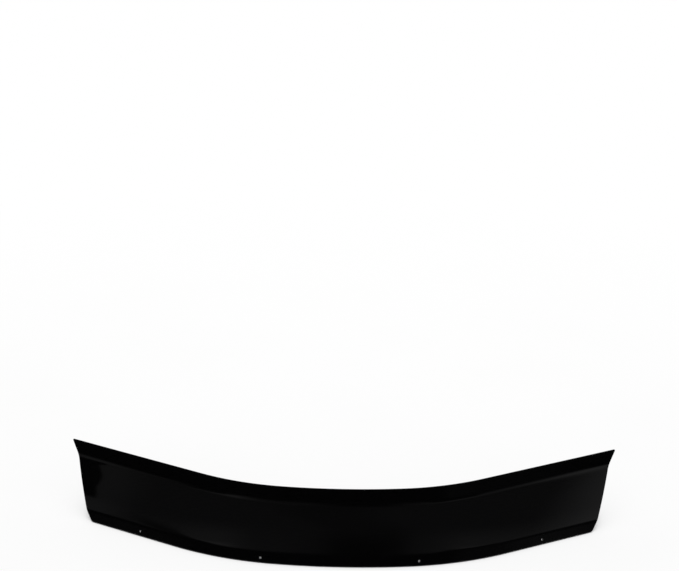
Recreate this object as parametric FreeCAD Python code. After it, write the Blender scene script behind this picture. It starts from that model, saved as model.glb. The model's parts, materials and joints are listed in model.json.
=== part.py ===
# Bug deflector for the front edge of a hood: one formed acrylic sheet, in millimetres.
# In section the sheet rises as a fixing band, bends back into a crowned face and turns up into a lip.
# In plan it is swept: +X is to the right, the front is -Y and +Z is up.
import FreeCAD, Part
import math
import os

from FreeCAD import Vector

# Sheet
sheet = 3.0
edge_rounding = 0.8

# Section, measured along the outer face from the lower edge up; a lean is the angle back from upright
band_height = 16.6
band_lean = 19.0
low_bend_radius = 14.0
face_height = 89.8
face_lean = 50.9
face_crown = 8.1
high_bend_radius = 24.0
lip_height = 21.5
lip_lean = 22.9

# Plan, measured along the outer face's lower edge from the middle to one end
middle_radius = 1100.0
middle_length = 122.0
shoulder_radius = 540.0
shoulder_length = 195.0
wing_length = 187.0

# End cut: its lean away from upright seen from the front, and its turn seen from above
end_rake = 32.7
end_toe = 5.8
low_corner_radius = 10.0
tip_radius = 2.0

# Fixing holes, drilled square to the band
hole_diameter = 4.0
hole_height = 9.0
inner_hole_from_middle = 145.0
outer_hole_from_end = 110.0

# An edge turns more sharply than this where the skin meets the cut rim
sharp_angle = 45.0


def advance(place, angle, length, turn):
    """Follows a run that turns evenly from its place: returns the place and the angle at its end."""
    chord = length
    if turn:
        chord = 2.0 * length / turn * math.sin(turn / 2.0)
    middle_angle = angle + turn / 2.0
    end = (place[0] + chord * math.cos(middle_angle), place[1] + chord * math.sin(middle_angle))
    return end, angle + turn


def section_runs():
    """Length and turn of each run of the outer face, from the lower edge to the top edge."""
    low_turn = math.radians(face_lean - face_crown / 2.0 - band_lean)
    high_turn = math.radians(lip_lean - face_lean - face_crown / 2.0)
    return [
        (band_height, 0.0),
        (low_bend_radius * abs(low_turn), low_turn),
        (face_height, math.radians(face_crown)),
        (high_bend_radius * abs(high_turn), high_turn),
        (lip_height, 0.0),
    ]


def developed_height():
    """Height of the sheet along its outer face, from edge to edge."""
    return sum(length for length, turn in section_runs())


def rounding():
    """Radius of the rounded rim, which the sheet has room for on both sides."""
    return min(edge_rounding, 0.45 * sheet)


def lower_edge_height():
    """Height of the outer face's lower edge when the rounded rim's lowest point is at height 0."""
    lean = math.radians(band_lean)
    radius = rounding()
    return radius + (sheet - radius) * math.sin(lean) - radius * math.cos(lean)


def foot_place():
    """Place (height, depth) of the outer face's lower edge."""
    return (lower_edge_height(), 0.0)


def head_place():
    """Place (height, depth) of the outer face's top edge."""
    place, lean = foot_place(), math.radians(band_lean)
    for length, turn in section_runs():
        place, lean = advance(place, lean, length, turn)
    return place


def skin_point(place, lean, inset):
    """Point in the section plane, the given inset behind a place (height, depth) of the outer face."""
    height = place[0] - inset * math.sin(lean)
    depth = place[1] + inset * math.cos(lean)
    return Vector(0.0, depth, height)


def skin_edges(inset):
    """Section edges of the skin that lies the given inset behind the outer face."""
    place, lean = foot_place(), math.radians(band_lean)
    edges = []
    for length, turn in section_runs():
        half_place, half_lean = advance(place, lean, length / 2.0, turn / 2.0)
        end_place, end_lean = advance(place, lean, length, turn)
        start = skin_point(place, lean, inset)
        end = skin_point(end_place, end_lean, inset)
        if turn:
            edges.append(Part.Arc(start, skin_point(half_place, half_lean, inset), end).toShape())
        else:
            edges.append(Part.LineSegment(start, end).toShape())
        place, lean = end_place, end_lean
    return edges


def section_face():
    """Closed section of the sheet, in the plane X = 0 with its outer lower edge over the origin."""
    outer = skin_edges(0.0)
    inner = skin_edges(sheet)
    foot = Part.LineSegment(inner[0].Vertexes[0].Point, outer[0].Vertexes[0].Point).toShape()
    head = Part.LineSegment(outer[-1].Vertexes[-1].Point, inner[-1].Vertexes[-1].Point).toShape()
    return Part.Face(Part.Wire(outer + [head] + inner[::-1] + [foot]))


def plan_place(distance):
    """Place (x, y) and heading of the outer lower edge, the given distance right of the middle."""
    place, heading = (0.0, 0.0), 0.0
    left = distance
    for length, radius in ((middle_length, middle_radius), (shoulder_length, shoulder_radius)):
        run = min(left, length)
        place, heading = advance(place, heading, run, run / radius)
        left -= run
    return advance(place, heading, left, 0.0)


def placed_section(place, heading):
    """The section face, square to the plan line at a place."""
    face = section_face()
    face.rotate(Vector(0, 0, 0), Vector(0, 0, 1), math.degrees(heading))
    face.translate(Vector(place[0], place[1], 0.0))
    return face


def curved_span(place, heading, length, radius):
    """Stretch of sheet round an upright axis, from a place on the plan line to the right of it."""
    axis = Vector(place[0] - radius * math.sin(heading), place[1] + radius * math.cos(heading), 0.0)
    return placed_section(place, heading).revolve(axis, Vector(0, 0, 1), math.degrees(length / radius))


def straight_span(place, heading, length):
    """Straight stretch of sheet, from a place on the plan line to the right of it."""
    run = Vector(length * math.cos(heading), length * math.sin(heading), 0.0)
    return placed_section(place, heading).extrude(run)


def mirrored(shape):
    """The same shape on the other side of the middle."""
    return shape.mirror(Vector(0, 0, 0), Vector(1, 0, 0))


def untrimmed_sheet():
    """The formed sheet before its ends are cut: the middle, two shoulders and two overlong wings."""
    (middle_x, middle_y), turn = plan_place(middle_length)
    middle = curved_span((-middle_x, middle_y), -turn, 2.0 * middle_length, middle_radius)
    shoulder = curved_span((middle_x, middle_y), turn, shoulder_length, shoulder_radius)
    wing_place, wing_heading = plan_place(middle_length + shoulder_length)
    wing = straight_span(wing_place, wing_heading, wing_length + 2.0 * developed_height())
    return middle.multiFuse([shoulder, wing, mirrored(shoulder), mirrored(wing)])


def end_normal():
    """Outward normal of the right end's cut plane."""
    return Vector(1.0, math.tan(math.radians(end_toe)), -math.tan(math.radians(end_rake))).normalize()


def end_point(place):
    """Point where the right end's cut plane meets the line along the wing at a section place (height, depth)."""
    (x, y), heading = plan_place(middle_length + shoulder_length + wing_length)
    foot = Vector(x, y, lower_edge_height())
    height, depth = place
    point = Vector(x - depth * math.sin(heading), y + depth * math.cos(heading), height)
    along = Vector(math.cos(heading), math.sin(heading), 0.0)
    return point + along * ((foot - point).dot(end_normal()) / along.dot(end_normal()))


def end_waste():
    """Block whose inner side is the right end's cut plane, through the end of the lower edge."""
    reach = 8.0 * developed_height()
    block = Part.makeBox(reach, reach, reach, Vector(-reach / 2.0, -reach / 2.0, 0.0))
    turn = FreeCAD.Rotation(Vector(0, 0, 1), end_normal())
    block.Placement = FreeCAD.Placement(end_point(foot_place()), turn)
    return block


def upward(lean):
    """Direction that climbs the wing's skin where the skin leans back by an angle in degrees."""
    (x, y), heading = plan_place(middle_length + shoulder_length)
    back = math.sin(math.radians(lean))
    return Vector(-back * math.sin(heading), back * math.cos(heading), math.cos(math.radians(lean)))


def corner_waste(corner, edge_normal, radius):
    """Prism that takes a corner of the right wing back to an arc, tangent to an edge's cut face and to the end cut.

    The corner is a point on both cut faces, and the prism runs along the line where they meet.
    """
    normals = [edge_normal, end_normal()]
    through = normals[0].cross(normals[1]).normalize()
    inward = [normals[0].cross(through), through.cross(normals[1])]
    half_angle = inward[0].getAngle(inward[1]) / 2.0
    middle = (inward[0] + inward[1]).normalize()
    touches = [corner + side * (radius / math.tan(half_angle)) for side in inward]
    nearest = corner + middle * (radius / math.sin(half_angle) - radius)
    margin = 2.0 * sheet
    outline = [
        touches[1],
        touches[1] + normals[1] * margin,
        corner - middle * (margin / math.sin(half_angle)),
        touches[0] + normals[0] * margin,
        touches[0],
    ]
    edges = [Part.LineSegment(start, end).toShape() for start, end in zip(outline, outline[1:])]
    edges.append(Part.Arc(touches[0], nearest, touches[1]).toShape())
    reach = 2.0 * (sheet + radius)
    prism = Part.Face(Part.Wire(edges)).extrude(through * 2.0 * reach)
    prism.translate(through * -reach)
    return prism


def waste():
    """All that is trimmed from the right end: beyond the cut plane, below the corner and above the tip."""
    low_corner = corner_waste(end_point(foot_place()), -upward(band_lean), low_corner_radius)
    tip = corner_waste(end_point(head_place()), upward(lip_lean), tip_radius)
    return [end_waste(), low_corner, tip]


def is_sharp(solid, edge):
    """Tells whether the two faces at an edge meet at a sharp angle there."""
    faces = solid.ancestorsOfType(edge, Part.Face)
    if len(faces) != 2:
        return False
    point = edge.valueAt((edge.FirstParameter + edge.LastParameter) / 2.0)
    normals = [face.normalAt(*face.Surface.parameter(point)) for face in faces]
    return math.degrees(normals[0].getAngle(normals[1])) > sharp_angle


def round_rim(solid):
    """Rounds the cut edge over all its length, on the outer side and on the inner side."""
    return solid.makeFillet(rounding(), [edge for edge in solid.Edges if is_sharp(solid, edge)])


def hole_drill(distance):
    """Drill for the hole at a distance right of the middle, square to the band and longer than it is thick."""
    (x, y), heading = plan_place(distance)
    lean = math.radians(band_lean)
    (height, depth), lean = advance(foot_place(), lean, hole_height, 0.0)
    centre = Vector(x - depth * math.sin(heading), y + depth * math.cos(heading), height)
    outward = Vector(
        math.sin(heading) * math.cos(lean),
        -math.cos(heading) * math.cos(lean),
        math.sin(lean),
    )
    start = centre - outward * 2.0 * sheet
    return Part.makeCylinder(hole_diameter / 2.0, 4.0 * sheet, start, outward)


def hole_drills():
    """The four drills: an inner and an outer one on each side of the middle."""
    outer_hole = middle_length + shoulder_length + wing_length - outer_hole_from_end
    right = [hole_drill(inner_hole_from_middle), hole_drill(outer_hole)]
    return right + [mirrored(drill) for drill in right]


def deflector_shield():
    """The whole sheet: formed, trimmed, rounded and drilled, centred over the origin."""
    right_waste = waste()
    trimmed = untrimmed_sheet().cut(right_waste + [mirrored(piece) for piece in right_waste])
    shield = round_rim(trimmed.Solids[0]).cut(hole_drills()).Solids[0]
    box = shield.optimalBoundingBox()
    shield.translate(Vector(0.0, -(box.YMin + box.YMax) / 2.0, 0.0))
    return shield


os.makedirs("parts", exist_ok=True)
deflector_shield().exportStep("parts/deflector_shield.step")
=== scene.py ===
# Hood bug deflector: the looks of one formed acrylic sheet, in metres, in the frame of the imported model.
# +X is to the right, the front is -Y and +Z is up.
import json
import logging
import math
from dataclasses import dataclass, field
from enum import Enum

import bpy
from mathutils import Matrix, Vector


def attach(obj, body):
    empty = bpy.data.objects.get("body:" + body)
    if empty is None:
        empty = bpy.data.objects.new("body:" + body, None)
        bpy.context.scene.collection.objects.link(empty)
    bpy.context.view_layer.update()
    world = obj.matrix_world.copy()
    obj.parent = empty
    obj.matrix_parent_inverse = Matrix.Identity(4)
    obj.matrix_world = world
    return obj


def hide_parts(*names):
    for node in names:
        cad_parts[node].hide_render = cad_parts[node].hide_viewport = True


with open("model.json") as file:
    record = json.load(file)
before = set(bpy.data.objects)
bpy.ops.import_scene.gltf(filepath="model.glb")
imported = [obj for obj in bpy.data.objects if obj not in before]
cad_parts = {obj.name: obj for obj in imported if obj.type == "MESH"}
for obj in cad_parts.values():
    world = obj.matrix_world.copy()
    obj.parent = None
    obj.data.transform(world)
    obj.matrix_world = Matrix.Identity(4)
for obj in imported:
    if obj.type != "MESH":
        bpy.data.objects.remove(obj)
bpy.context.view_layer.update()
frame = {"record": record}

NODE = "deflector_shield"
BODY = "root"

# A half turn below these, in radians, counts as these, so that a straight run divides by no zero. The nodes
# count in single precision.
LEAST_HALF_TURN = 1e-9
LEAST_NODE_HALF_TURN = 1e-5

log = logging.getLogger("deflector")

Pair = tuple[float, float]
Triple = tuple[float, float, float]
Cell = tuple[int, int]
Grid = list[list[Pair]]
Faces = list[tuple[int, ...]]
Socket = bpy.types.NodeSocket
Outputs = bpy.types.NodeOutputs
Tree = bpy.types.NodeTree


def follow(place: Pair, angle: float, length: float, turn: float) -> tuple[Pair, float]:
    """Follow a run that turns evenly from its place.

    Args:
        place: Where the run starts, along and across its first direction.
        angle: Direction at the start, in radians.
        length: Length of the run.
        turn: How far the run turns over its length, in radians.

    Returns:
        The place at its end and the direction there.
    """
    half = max(abs(turn) / 2.0, LEAST_HALF_TURN)
    chord = length * math.sin(half) / half
    middle = angle + turn / 2.0
    end = (place[0] + chord * math.cos(middle), place[1] + chord * math.sin(middle))
    return end, angle + turn


def spread(start: float, end: float, cells: int) -> list[float]:
    """Divide a stretch into equal cells.

    Args:
        start: First value, which is left out of the list.
        end: Last value, which is in the list.
        cells: Number of cells.

    Returns:
        The values after the first one, up to the last.
    """
    return [start + (end - start) * step / cells for step in range(1, cells + 1)]


def blend(first: Pair, second: Pair, share: float) -> Pair:
    """Return the point that lies the given share of the way from the first point to the second."""
    return (first[0] + (second[0] - first[0]) * share, first[1] + (second[1] - first[1]) * share)


@dataclass(frozen=True)
class Run:
    """A stretch of constant curvature."""

    length: float
    turn: float


@dataclass(frozen=True)
class Rim:
    """A point of the blank's outline and the direction from it into the sheet."""

    point: Pair
    inward: Pair

    def inset(self, depth: float) -> Pair:
        """Return the point that lies the given depth inside the outline."""
        return (self.point[0] + self.inward[0] * depth, self.point[1] + self.inward[1] * depth)

    def mirrored(self) -> "Rim":
        """Return the same rim point on the other side of the middle."""
        return Rim((-self.point[0], self.point[1]), (-self.inward[0], self.inward[1]))


@dataclass(frozen=True)
class SheetSection:
    """Section of the sheet, measured along the outer face from the lower edge up.

    A lean is the angle back from upright.
    """

    sheet: float = 0.003
    edge_rounding: float = 0.0008
    band_height: float = 0.0166
    band_lean: float = math.radians(19.0)
    low_bend_radius: float = 0.014
    face_height: float = 0.0898
    face_lean: float = math.radians(50.9)
    face_crown: float = math.radians(8.1)
    high_bend_radius: float = 0.024
    lip_height: float = 0.0215
    lip_lean: float = math.radians(22.9)

    def runs(self) -> list[Run]:
        """List the stretches of the section.

        Returns:
            The band, the low bend, the face, the high bend and the lip, from the lower edge up.
        """
        low_turn = self.face_lean - self.face_crown / 2.0 - self.band_lean
        high_turn = self.lip_lean - self.face_lean - self.face_crown / 2.0
        return [
            Run(self.band_height, 0.0),
            Run(self.low_bend_radius * abs(low_turn), low_turn),
            Run(self.face_height, self.face_crown),
            Run(self.high_bend_radius * abs(high_turn), high_turn),
            Run(self.lip_height, 0.0),
        ]

    def developed_height(self) -> float:
        """Return the height of the sheet along its outer face."""
        return sum(run.length for run in self.runs())

    def foot_height(self) -> float:
        """Find how high the outer lower edge lies when the rounded rim stands at height 0.

        Returns:
            The height.
        """
        rounding = self.edge_rounding
        below = rounding * math.cos(self.band_lean)
        return rounding + (self.sheet - rounding) * math.sin(self.band_lean) - below

    def at(self, rise: float) -> Triple:
        """Find the outer face at a distance up the section.

        Args:
            rise: Distance along the outer face from the lower edge.

        Returns:
            Its height, its depth behind the lower edge and its lean.
        """
        place, lean = (self.foot_height(), 0.0), self.band_lean
        left = rise
        for run in self.runs():
            length = min(max(left, 0.0), run.length)
            place, lean = follow(place, lean, length, run.turn * length / run.length)
            left -= run.length
        return place[0], place[1], lean


@dataclass(frozen=True)
class SweptPlan:
    """Plan of the lower edge from the middle to one end, and the plane that cuts that end."""

    middle_radius: float = 1.100
    middle_length: float = 0.122
    shoulder_radius: float = 0.540
    shoulder_length: float = 0.195
    wing_length: float = 0.187
    end_rake: float = math.radians(32.7)
    end_toe: float = math.radians(5.8)
    low_corner_radius: float = 0.010
    tip_radius: float = 0.002

    def runs(self) -> list[Run]:
        """List the stretches of the lower edge.

        Returns:
            The middle, the shoulder and the wing, from the middle outwards.
        """
        return [
            Run(self.middle_length, self.middle_length / self.middle_radius),
            Run(self.shoulder_length, self.shoulder_length / self.shoulder_radius),
            Run(self.wing_length, 0.0),
        ]

    def lower_edge(self) -> float:
        """Return the length of the lower edge from the middle to one end."""
        return sum(run.length for run in self.runs())

    def at(self, distance: float) -> tuple[Pair, float]:
        """Find the lower edge at a distance from the middle.

        Args:
            distance: Distance along the edge.

        Returns:
            Its place (x, y) and its heading.
        """
        place, heading = (0.0, 0.0), 0.0
        left = distance
        for run in self.runs():
            length = min(max(left, 0.0), run.length)
            place, heading = follow(place, heading, length, run.turn * length / run.length)
            left -= run.length
        return place, heading

    def end_at(self, section: SheetSection, rise: float, inset: float = 0.0) -> float:
        """Find where the end plane cuts the wing.

        Args:
            section: Section of the sheet.
            rise: Distance up the section.
            inset: Depth below the outer face.

        Returns:
            Distance from the middle, along the sheet.
        """
        heading = self.at(self.lower_edge())[1]
        height, depth, lean = section.at(rise)
        toe, rake = math.tan(self.end_toe), math.tan(self.end_rake)
        along = math.cos(heading) + toe * math.sin(heading)
        set_back = (math.sin(heading) - toe * math.cos(heading)) * (depth + inset * math.cos(lean))
        climb = height - inset * math.sin(lean) - section.foot_height()
        return self.lower_edge() + (set_back + climb * rake) / along


@dataclass(frozen=True)
class HoleLayout:
    """The four fixing holes in the band."""

    diameter: float = 0.0040
    rise: float = 0.009
    inner_from_middle: float = 0.145
    outer_from_end: float = 0.110
    eased_rim: float = 0.00025
    patch: float = 0.012

    def distances(self, plan: SweptPlan) -> list[float]:
        """Return how far the two right-hand holes lie from the middle."""
        return [self.inner_from_middle, plan.lower_edge() - self.outer_from_end]


@dataclass
class FlatBlank:
    """The sheet before forming, trimmed and drilled: (distance, rise, depth into the sheet) as (x, y, z).

    The cells of the runs are those up the low bend, the face and the high bend. The low and the top margins
    are the rows beside the outline, counted in roundings of the rim. The end margins are the columns beside
    the end. The wear works out the end once for all rises that are the same to so many digits.
    """

    section: SheetSection
    plan: SweptPlan
    holes: HoleLayout
    patch_cells: int = 8
    column_pitch: float = 0.0032
    spare_columns: int = 3
    wing_columns: int = 26
    run_cells: tuple[int, ...] = (8, 28, 10)
    lip_cells: int = 5
    rim_cells: int = 5
    corner_cells: int = 4
    wear_reach: float = 0.0025
    rise_digits: int = 4
    low_margins: tuple[float, ...] = (1.0, 2.0)
    top_margins: tuple[float, ...] = (5.0, 3.2, 2.0, 1.0)
    end_margins: tuple[float, ...] = (0.0100, 0.0070, 0.0045, 0.0024)
    ring_shares: tuple[float, ...] = (0.35, 0.62, 0.82, 0.93)
    first_spoke: float = math.radians(225.0)
    points: list[Triple] = field(default_factory=list)
    faces: Faces = field(default_factory=list)
    cut: list[float] = field(default_factory=list)
    unused: set[int] = field(default_factory=set)

    def rise_lines(self) -> tuple[list[float], int, int]:
        """Lay out the rows of the grid.

        Returns:
            The rises of the rows, and the rows at the top of the band and at the foot of the lip.
        """
        rim = self.section.edge_rounding
        low = self.holes.rise - self.holes.patch / 2.0
        high = self.holes.rise + self.holes.patch / 2.0
        runs = self.section.runs()
        rows = [margin * rim for margin in self.low_margins]
        rows += [low] + spread(low, high, self.patch_cells) + [runs[0].length]
        band_row = len(rows) - 1
        for run, cells in zip(runs[1:-1], self.run_cells):
            rows += spread(rows[-1], rows[-1] + run.length, cells)
        lip_row = len(rows) - 1
        top = self.section.developed_height()
        rows += spread(rows[-1], top - self.top_margins[0] * rim, self.lip_cells)
        rows += [top - margin * rim for margin in self.top_margins[1:]]
        return rows, band_row, lip_row

    def column_lines(self) -> tuple[list[float], list[int]]:
        """Lay out the columns from the middle to the last straight one.

        Returns:
            The distances of the columns, and the first column of each hole's patch.
        """
        half = self.holes.patch / 2.0
        columns, patches = [0.0], []
        for distance in self.holes.distances(self.plan):
            gap = distance - half - columns[-1]
            columns += spread(columns[-1], distance - half, math.ceil(gap / self.column_pitch))
            patches.append(len(columns) - 1)
            columns += spread(columns[-1], distance + half, self.patch_cells)
        spare = self.spare_columns
        columns += spread(columns[-1], columns[-1] + spare * self.column_pitch, spare)
        return columns, patches

    def corner_rims(self, corner: Pair, first: Pair, second: Pair, radius: float) -> list[Rim]:
        """Round a corner of the outline.

        Args:
            corner: The sharp corner.
            first: Direction from the corner along the side that comes first.
            second: Direction from the corner along the side that comes next.
            radius: Radius of the rounding.

        Returns:
            Rim points along the arc, from the first side to the second.
        """
        middle = Vector(first).normalized() + Vector(second).normalized()
        half = Vector(first).angle(Vector(second)) / 2.0
        centre = Vector(corner) + middle.normalized() * radius / math.sin(half)
        start = Vector(corner) + Vector(first).normalized() * radius / math.tan(half) - centre
        turn = math.pi - 2.0 * half
        rims = []
        for step in range(2 * self.corner_cells + 1):
            spoke = start.copy()
            spoke.rotate(Matrix.Rotation(turn * step / (2.0 * self.corner_cells), 2))
            rims.append(Rim(tuple(centre + spoke), tuple(-spoke.normalized())))
        return rims

    def end_rims(self, rows: list[float], low: list[Rim], high: list[Rim]) -> list[Rim]:
        """Lay out the outline of the right end, one rim point a row.

        Args:
            rows: Rises of the rows.
            low: Rim points round the lower corner.
            high: Rim points round the tip.

        Returns:
            The rim points, from the lower corner's middle to the tip's middle.
        """
        cells, step = self.corner_cells, self.section.edge_rounding
        rims = low[cells:]
        for rise in rows[cells + 1:-cells - 1]:
            ahead = self.plan.end_at(self.section, rise + step)
            behind = self.plan.end_at(self.section, rise - step)
            inward = Vector((-2.0 * step, ahead - behind)).normalized()
            rims.append(Rim((self.plan.end_at(self.section, rise), rise), tuple(inward)))
        return rims + high[:cells + 1]

    def edge_rims(self, columns: list[float], rise: float, corner: list[Rim]) -> list[Rim]:
        """Lay out the right half of the lower or the top outline, one rim point a column.

        Args:
            columns: Distances of the straight columns.
            rise: Rise of the edge.
            corner: Rim points from this edge's end of the corner to the corner's middle.

        Returns:
            The rim points, from the middle of the sheet to the corner's middle.
        """
        inward = (0.0, 1.0) if rise == 0.0 else (0.0, -1.0)
        wing = spread(columns[-1], corner[0].point[0], self.wing_columns)[:-1]
        return [Rim((distance, rise), inward) for distance in columns + wing] + corner

    def wing_row(self, start: float, rise: float, last: Pair) -> list[Pair]:
        """Lay out a row of the wing beyond the straight columns.

        Args:
            start: Distance of the last straight column.
            rise: Rise of the row.
            last: The row's last point, just inside the rim.

        Returns:
            The points after the last straight column.
        """
        end = self.plan.end_at(self.section, rise)
        places = spread(start, end - self.end_margins[0], self.wing_columns)
        places += [end - margin for margin in self.end_margins[1:]]
        return [(place, rise) for place in places] + [last]

    def half_grid(self, rows: list[float], band_row: int, lip_row: int, columns: list[float],
                  lower: list[Rim], upper: list[Rim], end: list[Rim]) -> Grid:
        """Lay out the right half of a skin.

        Args:
            rows: Rises of the rows.
            band_row: Row at the top of the band.
            lip_row: Row at the foot of the lip.
            columns: Distances of the straight columns.
            lower: Rim points of the lower outline.
            upper: Rim points of the top outline.
            end: Rim points of the end.

        Returns:
            The points by column and row.
        """
        rim = self.section.edge_rounding
        last = len(rows) - 1
        grid = [[(distance, rise) for rise in rows] for distance in columns]
        straight = len(columns)
        grid += [[(0.0, 0.0)] * len(rows) for _ in lower[straight:]]
        for row in range(band_row, lip_row + 1):
            for offset, point in enumerate(self.wing_row(columns[-1], rows[row], end[row].inset(rim))):
                grid[straight + offset][row] = point
        for column in range(straight, len(grid)):
            grid[column][0] = lower[column].inset(rim)
            grid[column][last] = upper[column].inset(rim)
        for row in list(range(1, band_row)) + list(range(lip_row + 1, last)):
            grid[-1][row] = end[row].inset(rim)
        self.fill_patch(grid, rows, straight - 1, 0, band_row)
        self.fill_patch(grid, rows, straight - 1, lip_row, last)
        return grid

    def fill_patch(self, grid: Grid, rows: list[float], first_column: int, low: int, high: int) -> None:
        """Fill a four-sided patch of the wing evenly from its four sides.

        Args:
            grid: Points by column and row, filled in place.
            rows: Rises of the rows.
            first_column: The patch's first column.
            low: The patch's lowest row.
            high: The patch's highest row.
        """
        straight_row = high if low == 0 else low
        start = grid[first_column][straight_row][0]
        width = grid[-1][straight_row][0] - start
        for column in range(first_column + 1, len(grid) - 1):
            across = (grid[column][straight_row][0] - start) / width
            for row in range(low + 1, high):
                up = (rows[row] - rows[low]) / (rows[high] - rows[low])
                level = blend(grid[first_column][row], grid[-1][row], across)
                upright = blend(grid[column][low], grid[column][high], up)
                corners = blend(
                    blend(grid[first_column][low], grid[-1][low], across),
                    blend(grid[first_column][high], grid[-1][high], across),
                    up,
                )
                grid[column][row] = (level[0] + upright[0] - corners[0], level[1] + upright[1] - corners[1])

    def add_point(self, place: Pair, depth: float, cut: float) -> int:
        """Add a point of the blank.

        Args:
            place: Its distance and rise.
            depth: Its place in the sheet's thickness.
            cut: 1 on a cut edge and 0 on a skin.

        Returns:
            Its number.
        """
        self.points.append((place[0], place[1], depth))
        self.cut.append(cut)
        return len(self.points) - 1

    def add_skin(self, grid: Grid, patches: set[Cell], depth: float) -> dict[Cell, int]:
        """Add the outer or the inner skin, open at the patches round the holes.

        Args:
            grid: Right half of the skin, by column and row.
            patches: Columns and rows of the cells that are left open.
            depth: Place of the skin in the sheet's thickness.

        Returns:
            The number of each point, by column and row.
        """
        numbers = {}
        reach = len(grid) - 1
        for column in range(-reach, reach + 1):
            for row, (distance, rise) in enumerate(grid[abs(column)]):
                side = -1.0 if column < 0 else 1.0
                numbers[column, row] = self.add_point((side * distance, rise), depth, 0.0)
        inner = self.inner_points(patches)
        for column in range(-reach, reach):
            for row in range(len(grid[0]) - 1):
                if (column, row) in patches:
                    continue
                ring = [(column, row), (column + 1, row), (column + 1, row + 1), (column, row + 1)]
                corners = [numbers[key] for key in ring]
                self.faces.append(tuple(corners if depth == 0.0 else corners[::-1]))
        log.info("skin at depth %.1f mm: %d points, %d inside the holes' patches",
                 1000.0 * abs(depth), len(numbers), len(inner))
        self.unused |= {numbers[key] for key in inner}
        return numbers

    def inner_points(self, patches: set[Cell]) -> set[Cell]:
        """Find the grid points that lie inside the open patches, on no side of them.

        Args:
            patches: Columns and rows of the open cells.

        Returns:
            Columns and rows of the points.
        """
        around = [(0, 0), (-1, 0), (0, -1), (-1, -1)]
        corners = {(column + 1, row + 1) for column, row in patches}
        return {key for key in corners if all((key[0] + dx, key[1] + dy) in patches for dx, dy in around)}

    def add_strip(self, first: list[int], second: list[int]) -> None:
        """Join two closed loops of equally many points by a strip of faces.

        Args:
            first: Numbers of the first loop's points.
            second: Numbers of the second loop's points.
        """
        for number, point in enumerate(first):
            after = (number + 1) % len(first)
            self.faces.append((point, first[after], second[after], second[number]))

    def rim_profile(self, rounding: float) -> list[Pair]:
        """Lay out the loops between the two skins, with both edges rounded.

        Args:
            rounding: Radius of the rounding.

        Returns:
            The inset from the outline and the depth of each loop.
        """
        quarter = [math.pi / 2.0 * step / self.rim_cells for step in range(1, self.rim_cells + 1)]
        front = [
            (rounding * (1.0 - math.sin(angle)), -rounding * (1.0 - math.cos(angle)))
            for angle in quarter
        ]
        back = [(inset, -self.section.sheet - depth) for inset, depth in front[::-1]]
        return front + [(0.0, -self.section.sheet / 2.0)] + back

    def add_rim(self, outline: list[Rim], front: list[int], back: list[int]) -> None:
        """Close the sheet round its outline.

        Args:
            outline: Rim points, anticlockwise as seen from in front.
            front: Numbers of the outer skin's points beside them.
            back: Numbers of the inner skin's points beside them.
        """
        loop = front
        for inset, depth in self.rim_profile(self.section.edge_rounding):
            new = [self.add_point(rim.inset(inset), depth, 1.0) for rim in outline]
            self.add_strip(new, loop)
            loop = new
        self.add_strip(back, loop)

    def add_hole(self, centre: Pair, front: list[int], back: list[int]) -> None:
        """Fill a patch round a hole and line the hole.

        Args:
            centre: Distance and rise of the hole's centre.
            front: Numbers of the patch's sides in the outer skin, anticlockwise from its lower left.
            back: The same in the inner skin.
        """
        radius = self.holes.diameter / 2.0
        count = len(front)
        spokes = [self.first_spoke + math.tau * number / count for number in range(count)]
        square = [self.points[number][:2] for number in front]

        def circle(size: float) -> list[Pair]:
            """Return a ring of points of that radius."""
            ways = [(math.cos(spoke), math.sin(spoke)) for spoke in spokes]
            return [(centre[0] + size * x, centre[1] + size * y) for x, y in ways]

        mouth = circle(radius + self.holes.eased_rim)
        rings = []
        for share in self.ring_shares:
            rings.append([blend(side, edge, share) for side, edge in zip(square, mouth)])
        loops = [(ring, 0.0, 0.0) for ring in rings + [mouth]]
        for inset, depth in self.rim_profile(self.holes.eased_rim):
            loops.append((circle(radius + inset), depth, 1.0))
        loops += [(ring, -self.section.sheet, 0.0) for ring in [mouth] + rings[::-1]]
        last = front
        for ring, depth, cut in loops:
            new = [self.add_point(place, depth, cut) for place in ring]
            self.add_strip(last, new)
            last = new
        self.add_strip(last, back)

    def patch_sides(self, column: int, row: int, numbers: dict[Cell, int]) -> list[int]:
        """Find the points round a patch.

        Args:
            column: The patch's first column.
            row: The patch's first row.
            numbers: Number of each point, by column and row.

        Returns:
            The points' numbers, anticlockwise from the patch's lower left.
        """
        size = self.patch_cells
        steps = range(size)
        keys = [(column + step, row) for step in steps]
        keys += [(column + size, row + step) for step in steps]
        keys += [(column + size - step, row + size) for step in steps]
        keys += [(column, row + size - step) for step in steps]
        return [numbers[key] for key in keys]

    def build(self) -> bpy.types.Mesh:
        """Build the blank.

        Returns:
            A closed mesh, flat, with the cut edge marked.
        """
        rows, band_row, lip_row = self.rise_lines()
        columns, patches = self.column_lines()
        top = self.section.developed_height()
        band_end = (self.plan.end_at(self.section, self.section.band_height), self.section.band_height)
        low_corner = (self.plan.lower_edge(), 0.0)
        lip_foot = top - self.section.lip_height
        lip_end = (self.plan.end_at(self.section, lip_foot), lip_foot)
        tip = (self.plan.end_at(self.section, top), top)
        up_band = (band_end[0] - low_corner[0], band_end[1] - low_corner[1])
        down_lip = (lip_end[0] - tip[0], lip_end[1] - tip[1])
        low = self.corner_rims(low_corner, (-1.0, 0.0), up_band, self.plan.low_corner_radius)
        high = self.corner_rims(tip, down_lip, (-1.0, 0.0), self.plan.tip_radius)
        cells = self.corner_cells
        end = self.end_rims(rows, low, high)
        lower = self.edge_rims(columns, 0.0, low[:cells + 1])
        upper = self.edge_rims(columns, top, high[:cells - 1:-1])
        grid = self.half_grid(rows, band_row, lip_row, columns, lower, upper, end)

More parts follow.
